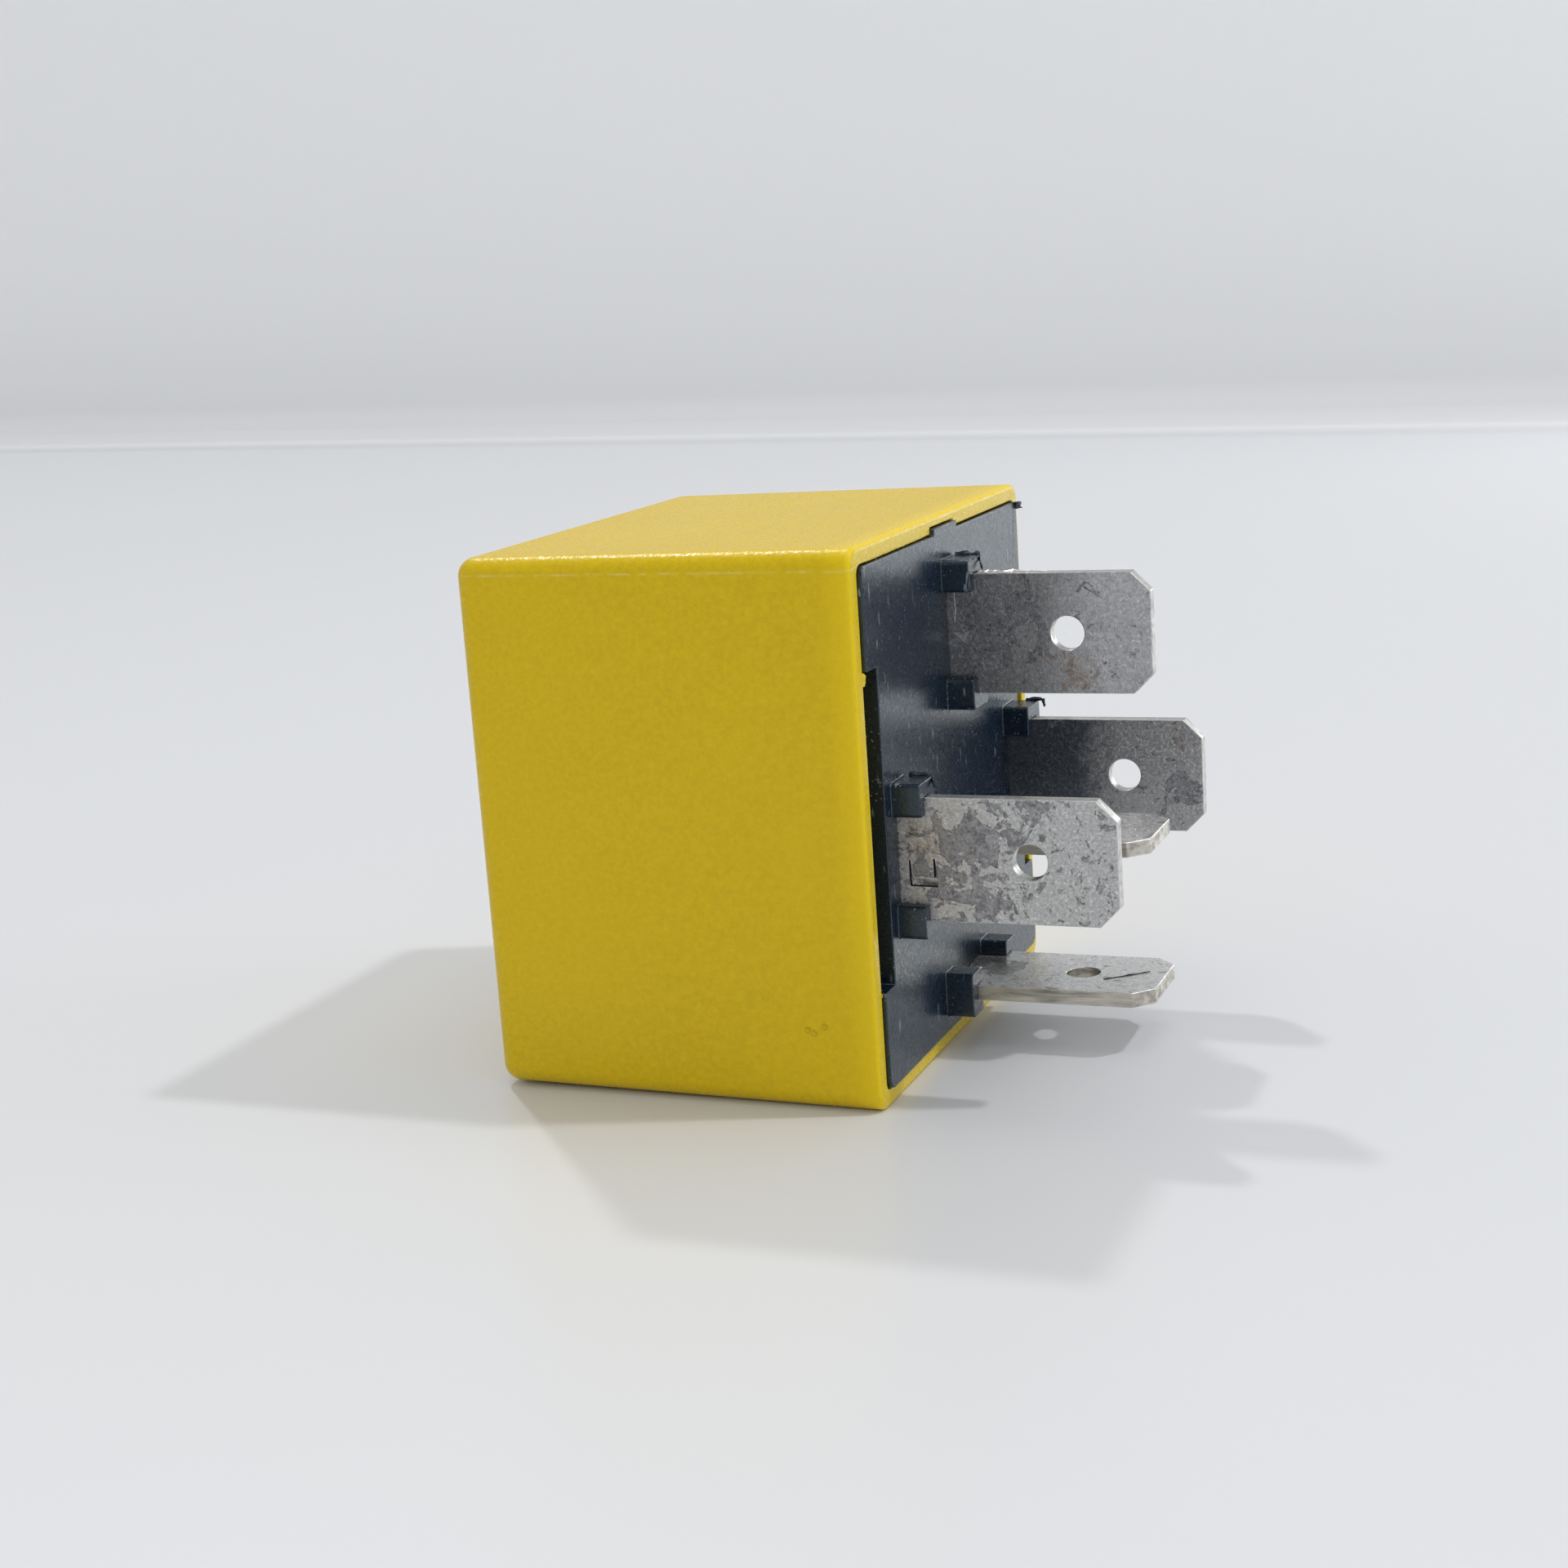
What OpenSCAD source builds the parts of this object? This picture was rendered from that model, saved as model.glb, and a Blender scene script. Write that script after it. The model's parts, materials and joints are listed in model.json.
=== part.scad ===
// Changeover relay for a vehicle fuse box, lying on one side of its housing.
// +X runs out of the base along the blades and +Z is up.
// The origin is on the ground, under the middle of the relay's outline.
// Inside, a coil on an L-shaped iron yoke pulls a hinged armature, whose leaf spring
// carries a contact back and forth between two fixed ones.

/* [Housing] */
// Side of the square housing, measured at its open rim
case_w = 28; // [27.5:0.5:30]
// Depth of the housing, from the rim to the outside of the closed end
case_depth = 21.4; // [21:0.2:26]
// Thickness of the housing's walls
case_wall = 0.9; // [0.8:0.05:1.1]
// Radius along the housing's outer edges
case_edge_r = 1; // [0.7:0.1:1.3]
// How far each side draws in from the rim to the closed end
case_draft = 0.15; // [0.05:0.05:0.3]
// Height of the ribs inside the housing that the base rests on
seat_rib_h = 0.4; // [0.3:0.05:0.5]
// Width of each seat rib
seat_rib_w = 1; // [0.8:0.1:1.4]
// Distance from a seat rib's middle to the inner corner beside it
seat_rib_in = 2.8; // [2.4:0.1:3.2]
// Width of the key notch inside the rim
key_w = 3.9; // [3.2:0.1:4.4]
// Depth of the key notch into the wall
key_depth = 0.35; // [0.25:0.05:0.5]
// How far the key notch lies off the middle of its side
key_off = 0; // [-2:0.25:2]

/* [Base] */
// Thickness of the base plate
base_t = 2.5; // [2.2:0.1:2.8]
// How far the base's outer face stands out of the rim
base_proud = 0.2; // [0.1:0.05:0.4]
// Radius of the base plate's corners
base_corner_r = 0.6; // [0.55:0.05:1.2]
// Clearance between the base and the housing on every side
base_gap = 0.06; // [0.04:0.01:0.1]
// Length of the moulded recess along each long edge of the base
edge_slot_len = 16; // [14:0.5:17]
// Width of the edge recess
edge_slot_w = 1.4; // [1.2:0.1:1.6]
// Depth of the edge recess below the outer face
edge_slot_depth = 1.9; // [1.4:0.1:2]
// Height of the guide bosses above the outer face
boss_h = 1.5; // [1.4:0.1:1.8]
// How far each boss laps over the blade's face from its edge
boss_lap = 0.9; // [0.7:0.05:1.1]
// How far each boss reaches beyond the blade's edge
boss_reach = 0.8; // [0.6:0.05:0.9]
// Size of a boss across the blade's thickness
boss_deep = 2.35; // [2.1:0.05:2.5]
// Radius of a boss's corners
boss_r = 0.25; // [0.15:0.05:0.4]
// Clearance around a blade in its slot
slot_gap = 0.03; // [0.02:0.01:0.06]

/* [Terminals] */
// Width of a blade
tab_w = 6.3; // [6.2:0.05:6.4]
// Thickness of the terminals' sheet brass
tab_t = 0.8; // [0.76:0.01:0.84]
// Reach of the contact blades beyond the rim
tab_out = 11; // [10.5:0.1:12]
// Reach of the coil blades beyond the rim
coil_tab_out = 11.3; // [11:0.1:12]
// Corner cut at each blade's tip
tab_chamfer = 1; // [0.8:0.1:1.4]
// Diameter of the detent hole in each blade
detent_d = 1.8; // [1.6:0.05:2]
// Distance from the blade's tip to the middle of the detent hole
detent_from_tip = 4.4; // [4:0.1:4.8]
// Distance from each coil blade's middle to the housing's side
coil_tab_in = 4.4; // [4.2:0.1:4.7]
// How far the coil blades lie below the middle of the relay
coil_tab_down = 1.95; // [1.6:0.05:2]
// Distance from the common blade's middle to the upper side of the housing
common_tab_in = 6.3; // [6:0.1:6.5]
// Distance from the make blade's middle to the lower side
make_tab_in = 3; // [2.9:0.05:3.2]
// How far the break blade lies below the middle of the relay
break_tab_down = 3; // [2.9:0.05:3.1]
// Inner bend radius of the terminals
tab_bend_r = 0.4; // [0.3:0.05:0.5]
// Width of the shoulder that stops a blade against the base
shoulder_w = 7.4; // [7:0.1:7.8]
// Width of the posts that the coil's wire is wrapped on
post_w = 2; // [1.8:0.1:2.2]
// Length of those posts beyond the base
post_len = 6.6; // [6.4:0.1:7]
// Width of the make terminal's strip inside the housing
make_strip_w = 5; // [4.4:0.1:5.4]
// Width of the break terminal's strip inside the housing
break_strip_w = 3.2; // [3:0.1:3.4]
// Distance from the middle plane to the break terminal's strip
break_strip_y = 5; // [4.8:0.1:5.4]

/* [Magnet] */
// Thickness of the yoke's iron
yoke_t = 1.8; // [1.7:0.05:1.9]
// How far the bobbin's flanges reach beyond the yoke on each side
yoke_side = 0.6; // [0.4:0.1:0.8]
// Room between the yoke's back and the housing's wall
yoke_room = 1.45; // [1.4:0.05:1.6]
// Inner bend radius of the yoke
yoke_bend_r = 0.6; // [0.5:0.1:0.8]
// Room between the bobbin's flanges and the yoke on one side and the contacts on the other
coil_room = 0.3; // [0.2:0.05:0.4]
// Core's diameter as a share of the winding's
core_share = 0.44; // [0.42:0.01:0.46]
// How far the pole disc stands out round the core
pole_lip = 1.3; // [1:0.1:1.5]
// Thickness of the pole disc
pole_t = 1; // [0.9:0.05:1.2]
// Step from the core down to its neck, riveted into the yoke
neck_step = 1.1; // [0.9:0.05:1.2]
// Clearance of the core in the yoke and the bobbin
core_gap = 0.05; // [0.03:0.01:0.08]
// Wall of the bobbin's tube
bobbin_wall = 0.8; // [0.7:0.05:0.9]
// Thickness of the bobbin's flanges
flange_t = 1; // [0.9:0.05:1.1]
// Winding's diameter as a share of the flanges' side
winding_share = 0.915; // [0.9:0.005:0.93]
// Thickness of the tape round the winding
tape_t = 0.15; // [0.1:0.01:0.2]
// Diameter of the winding's lead wires
lead_d = 0.5; // [0.4:0.05:0.6]

/* [Armature and contacts] */
// Thickness of the armature
armature_t = 1.5; // [1.4:0.05:1.6]
// How far the yoke reaches beyond the armature on each side
armature_side = 1; // [0.7:0.1:1.3]
// Distance from the armature's free end to the middle of the contacts
armature_short = 3.4; // [3.2:0.1:3.8]
// Thickness of the contact spring
leaf_t = 0.25; // [0.2:0.01:0.3]
// Width of the contact spring
leaf_w = 8; // [7.6:0.1:8.4]
// Bend radius of the contact spring round the hinge, to its middle
leaf_bend_r = 1.4; // [1.3:0.05:1.5]
// Length of the spring's leg along the yoke
leaf_back = 8; // [7.6:0.1:8.6]
// Height of the contacts above the ground
contact_z = 5.2; // [5.1:0.05:5.3]
// Diameter of the contacts
contact_d = 2.8; // [2.6:0.1:3]
// Height of each contact's head
contact_head = 0.5; // [0.45:0.01:0.6]
// Height of the dome within a contact's head
contact_dome = 0.15; // [0.1:0.01:0.2]
// Travel of the moving contact between the fixed ones
contact_travel = 1; // [0.8:0.05:1.1]
// Room between the break terminal and the housing's closed end
head_room = 0.35; // [0.3:0.05:0.5]
// Gap that parts the contacts' solids where they touch
touch_gap = 0.02; // [0.01:0.01:0.04]
// Gap that parts the armature from the iron that it closes on
seat_gap = 0.03; // [0.02:0.01:0.05]
// Diameter of the rivets that hold the contact spring
rivet_d = 1.8; // [1.6:0.1:2]
// Height of the rivets' heads
rivet_head = 0.45; // [0.4:0.05:0.5]
// Distance from a rivet's middle to the contact spring's edge
rivet_in = 1.35; // [1.25:0.05:1.45]

/* [Hidden] */
$fn = 48;
cut = 1;                                          // overshoot of every cutting solid
fit = 0.01;                                       // clearance of a riveted or moulded-in piece

// along X, measured from the rim
rim_x = (case_depth - max(tab_out, coil_tab_out)) / 2;
mid_z = case_w / 2;
case_in = case_w - 2 * case_wall;                 // inner side of the rim
rib_off = case_in / 2 - seat_rib_in;
coil_pitch = case_w - 2 * coil_tab_in;
coil_tab_z = mid_z - coil_tab_down;
common_tab_z = case_w - common_tab_in;
make_tab_z = make_tab_in;
break_tab_z = mid_z - break_tab_down;
end_in = case_wall - case_depth;                  // inner face of the closed end
base_in = base_proud - base_t;                    // inner face of the base
foot_x = base_in - tab_t;                         // the terminals' feet lie between these two

// the break terminal hangs from the closed end, and the armature's place follows from it
break_x = end_in + head_room;
break_face = break_x + tab_t + contact_head;
hinge_z = case_w - case_wall - yoke_room;         // back face of the yoke
lever = hinge_z - contact_z;
open_deg = asin(contact_travel / lever);
stack = armature_t + leaf_t + contact_head;
hinge_x = break_face + touch_gap + stack * cos(open_deg) + contact_travel;
make_face = hinge_x - armature_t + contact_head + touch_gap;
make_x = make_face + contact_head;

// the magnet
iron_end = hinge_x + seat_gap;                    // yoke's end and pole face
yoke_in_x = foot_x - yoke_t;                      // the bobbin stands on this face
coil_low = contact_z + break_strip_w / 2 + coil_room;
coil_high = hinge_z - yoke_t - coil_room;
coil_z = (coil_low + coil_high) / 2;
flange_w = coil_high - coil_low;
winding_d = flange_w * winding_share;
core_d = winding_d * core_share;
tube_r = core_d / 2 + core_gap + bobbin_wall;     // outside of the bobbin's tube
pole_d = core_d + 2 * pole_lip;
neck_d = core_d - 2 * neck_step;
yoke_w = flange_w - 2 * yoke_side;
yoke_foot_z = break_tab_z + tab_t;                // end of the yoke's short leg, over the break blade
armature_w = yoke_w - 2 * armature_side;
armature_len = lever - armature_short;
bobbin_top = iron_end + pole_t;
winding_top = bobbin_top + flange_t;
winding_foot = yoke_in_x - flange_t;
neck_head_t = tab_t * 0.6;                        // riveted end of the core, short of the base
neck_head_d = neck_d + 1.2;

// feet of the yoke, staked into pockets in the base
stake_y = yoke_w / 2 - 1.3;
stake_up = 4;
stake_z = coil_z + stake_up;
stake_w = 1.6;
stake_h = 2.4;
stake_len = base_t * 0.4;
rail_w = 2.5;                                     // rails on the base that carry the yoke
rail_z = [yoke_foot_z + 0.4, hinge_z - yoke_t - yoke_bend_r - 0.4];

// the break terminal's way round the make terminal
foot_low_z = contact_z;
lead_x = winding_foot - lead_d;                   // where the leads leave the winding
tape_foot = winding_foot - 1.3;
wrap_len = 1.6;
post_end = base_in - tab_t - post_len;

// plain helpers

module place() {
    translate([rim_x, 0, 0]) children();
}

// a rectangle with round corners, centred
module round_rect(w, h, r) {
    square([w - 2 * r, h], center = true);
    square([w, h - 2 * r], center = true);
    for (x = [-1, 1], y = [-1, 1]) translate([x * (w / 2 - r), y * (h / 2 - r)]) circle(r);
}

// sheet metal bent square: the outer corner is at the origin, one leg runs along +X and one along +Y
module bent_strip(a, b, t, r) {
    ro = r + t;
    translate([ro, 0]) square([a - ro, t]);
    translate([0, ro]) square([t, b - ro]);
    translate([ro, ro]) difference() {
        intersection() {
            circle(ro);
            translate([-ro, -ro]) square(ro);
        }
        circle(r);
    }
}

// turns a drawing in X and Z into a solid that is centred on Y
module across_y(w) {
    rotate([90, 0, 0]) linear_extrude(w, center = true) children();
}

// turns a drawing in Y and Z into a solid that rises along X from 0
module along_x(t) {
    rotate([90, 0, 90]) linear_extrude(t) children();
}

// a blade's outline: base to tip along X, its width along Y, with the detent hole
module tab_outline(tip) {
    h = tab_w / 2;
    c = tab_chamfer;
    difference() {
        polygon([
            [base_in, -h], [tip - c, -h], [tip, c - h],
            [tip, h - c], [tip - c, h], [base_in, h]
        ]);
        translate([tip - detent_from_tip, 0]) circle(d = detent_d);
    }
}

// a blade that lies level, and one that stands on edge
module level_tab(tip) {
    linear_extrude(tab_t, center = true) tab_outline(tip);
}

module upright_tab(tip) {
    across_y(tab_t) tab_outline(tip);
}

// where each blade stands on the base: [y, z, upright]
tab_places = [
    [0, common_tab_z, true], [-coil_pitch / 2, coil_tab_z, true], [coil_pitch / 2, coil_tab_z, true],
    [0, make_tab_z, false], [0, break_tab_z, false]
];

// repeats a drawing in the base's plane for every blade, with the blade's width along its X
module at_tabs() {
    for (p = tab_places) translate([p[0], p[1]]) rotate(p[2] ? 90 : 0) children();
}

// a contact's head, rising along Z to a shallow dome
module contact_button() {
    r = contact_d / 2;
    dome_r = (r * r + contact_dome * contact_dome) / (2 * contact_dome);
    intersection() {
        cylinder(r = r, h = contact_head);
        translate([0, 0, contact_head - dome_r]) sphere(dome_r, $fn = 192);
    }
}

// a solid that moves with the armature, drawn from the hinge as it lies when pulled in
module swung_open() {
    translate([hinge_x, 0, hinge_z]) rotate([0, open_deg, 0]) children();
}

// housing

module case_block(w, shrink, r, x0, x1) {
    hull() {
        for (y = [-1, 1], z = [-1, 1]) {
            h = w / 2 - r;
            translate([x1 - fit, y * h, mid_z + z * h]) rotate([0, 90, 0])
                cylinder(r = r, h = fit, $fn = 32);
            translate([x0 + r, y * (h - shrink), mid_z + z * (h - shrink)])
                sphere(r, $fn = 32);
        }
    }
}

module seat_ribs() {
    rib_foot = seat_rib_h + case_wall / 2 + case_draft / 2;
    for (side = [0:3], s = [-1, 1])
        translate([0, 0, mid_z]) rotate([side * 90, 0, 0])
            translate([end_in - 0.2, s * rib_off - seat_rib_w / 2, case_in / 2 - seat_rib_h])
                cube([base_in - end_in + 0.2, seat_rib_w, rib_foot - case_draft]);
}

module housing() {
    color("goldenrod") place() union() {
        difference() {
            case_block(case_w, case_draft, case_edge_r, -case_depth, 0);
            case_block(case_in, case_draft, case_edge_r / 2, end_in, cut);
            translate([base_in - cut, key_off - key_w / 2, mid_z])
                cube([cut - base_in + cut, key_w, case_in / 2 + key_depth]);
        }
        seat_ribs();
    }
}

// base

module base_outline() {
    w = case_in - 2 * base_gap;
    translate([0, mid_z]) round_rect(w, w, base_corner_r);
}

// two guides grip each blade's edges
module bosses() {
    w = boss_lap + boss_reach;
    boss_y = tab_w / 2 + (boss_reach - boss_lap) / 2;
    at_tabs() for (s = [-1, 1]) translate([s * boss_y, 0]) round_rect(w, boss_deep, boss_r);
}

module base() {
    edge = case_in / 2 - base_gap;
    color("dimgray") place() difference() {
        union() {
            translate([base_in, 0, 0]) along_x(base_t) base_outline();
            translate([base_proud - cut / 2, 0, 0]) along_x(boss_h + cut / 2) bosses();
            translate([base_in, key_off - key_w / 2 + base_gap, mid_z])
                cube([base_t, key_w - 2 * base_gap, edge + key_depth]);
            for (s = [-1, 1]) translate([foot_x + fit, s * stake_y - rail_w / 2, rail_z[0]])
                cube([tab_t + cut, rail_w, rail_z[1] - rail_z[0]]);
        }
        translate([foot_x - cut, 0, 0]) along_x(base_t + boss_h + tab_t + 2 * cut)
            at_tabs() square([tab_w + 2 * slot_gap, tab_t + 2 * slot_gap], center = true);
        for (s = [-1, 1]) {
            translate([base_proud - edge_slot_depth, s * (edge - edge_slot_w / 2), mid_z])
                along_x(edge_slot_depth + cut)
                square([edge_slot_w + 2 * base_gap, edge_slot_len], center = true);
            translate([foot_x - cut, s * stake_y, stake_z]) along_x(cut + tab_t + stake_len + 2 * fit)
                square([stake_w + 2 * slot_gap, stake_h + 2 * slot_gap], center = true);
        }
    }
}

// terminals

// the common terminal's foot is welded flat on the yoke
module terminal_30() {
    foot_len = 4.6;
    color("gray") place() translate([0, 0, common_tab_z]) {
        upright_tab(tab_out);
        linear_extrude(tab_w, center = true) translate([foot_x, -tab_t / 2])
            bent_strip(base_in - foot_x + fit, foot_len, tab_t, tab_bend_r / 2);
    }
}

// a coil terminal: a blade, a shoulder against the base and a post for the wire
module coil_terminal(side) {
    place() translate([0, side * coil_pitch / 2, coil_tab_z]) {
        upright_tab(coil_tab_out);
        across_y(tab_t) {
            translate([foot_x, -shoulder_w / 2]) square([tab_t, shoulder_w]);
            translate([post_end, -post_w / 2]) square([foot_x - post_end + fit, post_w]);
        }
    }
}

module terminal_85() {
    color("silver") coil_terminal(-1);
}

module terminal_86() {
    color("gray") coil_terminal(1);
}

// the make terminal runs along the wall and turns up under the moving contact
module terminal_87() {
    top = contact_z + contact_d / 2 + 0.4 - (make_tab_z - tab_t / 2);
    color("silver") place() difference() {
        union() {
            translate([0, 0, make_tab_z]) level_tab(tab_out);
            translate([foot_x, -shoulder_w / 2, make_tab_z - tab_t / 2]) cube([tab_t, shoulder_w, tab_t]);
            translate([make_x, 0, make_tab_z - tab_t / 2]) across_y(make_strip_w)
                bent_strip(foot_x - make_x + fit, top, tab_t, tab_bend_r);
        }
        translate([make_x - cut, 0, contact_z]) rotate([0, 90, 0])
            cylinder(d = rivet_d, h = tab_t + 2 * cut);
    }
}

// the break terminal steps aside on the base, passes the make terminal and
// reaches over the moving contact from the far side
module terminal_87a() {
    top = break_tab_z + tab_t / 2;
    out = break_strip_y + tab_t;
    low = contact_z - break_strip_w / 2;
    color("silver") place() difference() {
        union() {
            translate([0, 0, break_tab_z]) level_tab(tab_out);
            translate([foot_x, 0, top]) across_y(tab_w) mirror([0, 1])
                bent_strip(base_in - foot_x + fit, top - foot_low_z, tab_t, tab_bend_r / 2);
            translate([foot_x, 0, foot_low_z]) cube([tab_t, break_strip_y, break_strip_w]);
            translate([base_in, out, foot_low_z]) mirror([1, 0, 0]) mirror([0, 1, 0])
                linear_extrude(low + break_strip_w - foot_low_z)
                    bent_strip(base_in - foot_x + tab_t * 2, out - tab_t, tab_t, tab_bend_r);
            translate([break_x, out, low]) mirror([0, 1, 0]) linear_extrude(break_strip_w)
                bent_strip(foot_x - tab_t / 2 - break_x, out + contact_d / 2 + 0.5, tab_t, tab_bend_r);
        }
        translate([break_x - cut, 0, contact_z]) rotate([0, 90, 0])
            cylinder(d = rivet_d, h = tab_t + 2 * cut);
    }
}

// magnet

module yoke() {
    color("lightslategray") place() difference() {
        union() {
            translate([foot_x, 0, hinge_z]) across_y(yoke_w) rotate(180)
                bent_strip(foot_x - iron_end, hinge_z - yoke_foot_z, yoke_t, yoke_bend_r);
            for (s = [-1, 1]) translate([foot_x - cut, s * stake_y - stake_w / 2, stake_z - stake_h / 2])
                cube([cut + tab_t + stake_len, stake_w, stake_h]);
        }
        translate([yoke_in_x - cut, 0, coil_z]) rotate([0, 90, 0])
            cylinder(d = neck_d + 2 * fit, h = yoke_t + 2 * cut);
        at_yoke_rivets() translate([0, 0, -yoke_t - cut])
            cylinder(d = rivet_d + 2 * fit, h = yoke_t + 2 * cut);
    }
}

module core() {
    color("silver") place() translate([iron_end, 0, coil_z]) rotate([0, 90, 0]) {
        cylinder(d = pole_d, h = pole_t);
        cylinder(d = core_d, h = yoke_in_x - iron_end);
        cylinder(d = neck_d, h = foot_x - iron_end + fit);
        translate([0, 0, foot_x - iron_end]) cylinder(d = neck_head_d, h = neck_head_t);
    }
}

// the moulded spool, with a wing on each side that steadies a coil post
module bobbin() {
    wing_w = 3.4;
    wing_out = coil_pitch / 2 + tab_t / 2 + 0.9;
    corner_r = 1.2;
    color("ivory") place() difference() {
        union() {
            for (x = [bobbin_top, winding_foot]) translate([x, 0, coil_z])
                along_x(flange_t) round_rect(flange_w, flange_w, corner_r);
            translate([winding_foot, -wing_out, coil_tab_z - wing_w / 2])
                cube([flange_t, 2 * wing_out, wing_w]);
            translate([bobbin_top, 0, coil_z]) rotate([0, 90, 0])
                cylinder(r = tube_r, h = yoke_in_x - bobbin_top);
        }
        translate([bobbin_top - cut, 0, coil_z]) rotate([0, 90, 0])
            cylinder(d = core_d + 2 * core_gap, h = yoke_in_x - bobbin_top + 2 * cut);
        for (s = [-1, 1]) translate([winding_foot - cut, s * coil_pitch / 2, coil_tab_z])
            along_x(flange_t + 2 * cut)
            square([tab_t + 2 * slot_gap, post_w + 2 * slot_gap], center = true);
    }
}

// the winding is one solid with its two leads, which are wrapped round the posts
module winding() {
    post_y = coil_pitch / 2;
    wrap_t = lead_d * 0.8;
    color("chocolate") place() difference() {
        union() {
            translate([winding_top, 0, coil_z]) rotate([0, 90, 0])
                cylinder(d = winding_d, h = winding_foot - winding_top);
            for (s = [-1, 1]) {
                translate([lead_x, 0, coil_tab_z]) rotate([-90 * s, 0, 0])
                    cylinder(d = lead_d, h = post_y - tab_t / 2);
                translate([lead_x + lead_d / 2 - wrap_len, s * post_y, coil_tab_z]) along_x(wrap_len)
                    square([tab_t + 2 * wrap_t, post_w + 2 * wrap_t], center = true);
            }
        }
        translate([winding_top - cut, 0, coil_z]) rotate([0, 90, 0])
            cylinder(r = tube_r + fit, h = winding_foot - winding_top + 2 * cut);
        for (s = [-1, 1]) translate([lead_x - wrap_len - cut, s * post_y, coil_tab_z])
            along_x(wrap_len + 2 * cut) square([tab_t + 2 * fit, post_w + 2 * fit], center = true);
    }
}

module coil_tape() {
    color("darkkhaki") place() translate([winding_top + fit, 0, coil_z]) rotate([0, 90, 0])
        difference() {
            cylinder(d = winding_d + 2 * fit + 2 * tape_t, h = tape_foot - winding_top - fit);
            translate([0, 0, -cut])
                cylinder(d = winding_d + 2 * fit, h = winding_foot - winding_top + 2 * cut);
        }
}

// a bead of solder closes each wrap
module coil_solder() {
    bead_r = post_w / 2 + 0.25;
    bead_x = lead_x + lead_d / 2 - wrap_len;
    color("gainsboro") place() for (s = [-1, 1])
        translate([0, s * coil_pitch / 2, coil_tab_z]) difference() {
            intersection() {
                translate([bead_x - 0.2, 0, 0]) sphere(bead_r);
                translate([bead_x - bead_r * 2 - fit, -bead_r, -bead_r]) cube(bead_r * 2);
            }
            translate([post_end - cut, 0, 0]) along_x(post_len + cut)
                square([tab_t + 2 * fit, post_w + 2 * fit], center = true);
        }
}

// armature and contacts

// where the spring's rivets sit: off the middle plane, and away from the hinge
rivet_y = leaf_w / 2 - rivet_in;
armature_rivet_down = 5.2;
yoke_rivet_back = 5;

module at_yoke_rivets() {
    for (s = [-1, 1]) translate([hinge_x + yoke_rivet_back, s * rivet_y, hinge_z]) children();
}

module at_armature_rivets() {
    for (s = [-1, 1]) translate([-armature_t, s * rivet_y, -armature_rivet_down])
        rotate([0, 90, 0]) children();
}

module armature() {
    top = 0.12;
    waist = 10.5;
    tip_w = 9;
    c = 0.8;
    color("silver") place() swung_open() difference() {
        translate([-armature_t, 0, 0]) along_x(armature_t) polygon([
            [-armature_w / 2, -top], [-armature_w / 2, -waist], [-tip_w / 2, c - armature_len],
            [c - tip_w / 2, -armature_len], [tip_w / 2 - c, -armature_len], [tip_w / 2, c - armature_len],
            [armature_w / 2, -waist], [armature_w / 2, -top]
        ]);
        translate([-armature_t, 0, 0]) rotate([0, 45, 0])
            cube([2 * c, armature_w + cut, 2 * c], center = true);
        at_armature_rivets() translate([0, 0, -cut])
            cylinder(d = rivet_d + 2 * fit, h = armature_t + 2 * cut);
    }
}

// one leaf: a leg on the yoke's back, a bend round the hinge and a leg down the armature
module contact_spring() {
    bend_z = leaf_t / 2 - leaf_bend_r;
    bend_x = (leaf_bend_r - armature_t - leaf_t / 2 + bend_z * sin(open_deg)) / cos(open_deg);
    far = 3 * leaf_bend_r;
    leg_top = bend_x * sin(open_deg) + bend_z * cos(open_deg);
    tip_r = contact_d / 2 + 0.5;
    neck_z = armature_len - 2;
    color("orange") place() difference() {
        union() {
            translate([hinge_x + bend_x, -leaf_w / 2, hinge_z])
                cube([leaf_back - bend_x, leaf_w, leaf_t]);
            translate([hinge_x + bend_x, 0, hinge_z + bend_z]) across_y(leaf_w) intersection() {
                difference() {
                    circle(leaf_bend_r + leaf_t / 2);
                    circle(leaf_bend_r - leaf_t / 2);
                }
                polygon([[0, 0], [0, far], [-far, far], [-far * cos(open_deg), far * sin(open_deg)]]);
            }
            swung_open() translate([-armature_t - leaf_t, 0, 0]) along_x(leaf_t) {
                polygon([
                    [-leaf_w / 2, leg_top], [-leaf_w / 2, -neck_z], [-tip_r, -neck_z - 2],
                    [-tip_r, -lever], [tip_r, -lever], [tip_r, -neck_z - 2],
                    [leaf_w / 2, -neck_z], [leaf_w / 2, leg_top]
                ]);
                translate([0, -lever]) circle(tip_r);
            }
        }
        at_yoke_rivets() translate([0, 0, -cut])
            cylinder(d = rivet_d + 2 * fit, h = leaf_t + 2 * cut);
        swung_open() {
            at_armature_rivets() translate([0, 0, -leaf_t - cut])
                cylinder(d = rivet_d + 2 * fit, h = leaf_t + 2 * cut);
            translate([-armature_t - leaf_t - cut, 0, -lever]) rotate([0, 90, 0])
                cylinder(d = rivet_d + 2 * fit, h = leaf_t + 2 * cut);
        }
        // the window that makes the bend supple
        translate([hinge_x - armature_t - cut - leaf_t, -leaf_w / 6, hinge_z - 2.4])
            cube([armature_t + 2 * cut, leaf_w / 3, 2.4 + cut]);
    }
}

// a double-headed rivet through the spring's end
module moving_contact() {
    color("whitesmoke") place() swung_open() translate([-armature_t, 0, -lever]) {
        rotate([0, 90, 0]) contact_button();
        translate([-leaf_t, 0, 0]) rotate([0, -90, 0]) contact_button();
        translate([-leaf_t - fit, 0, 0]) rotate([0, 90, 0]) cylinder(d = rivet_d, h = leaf_t + 2 * fit);
    }
}

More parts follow.
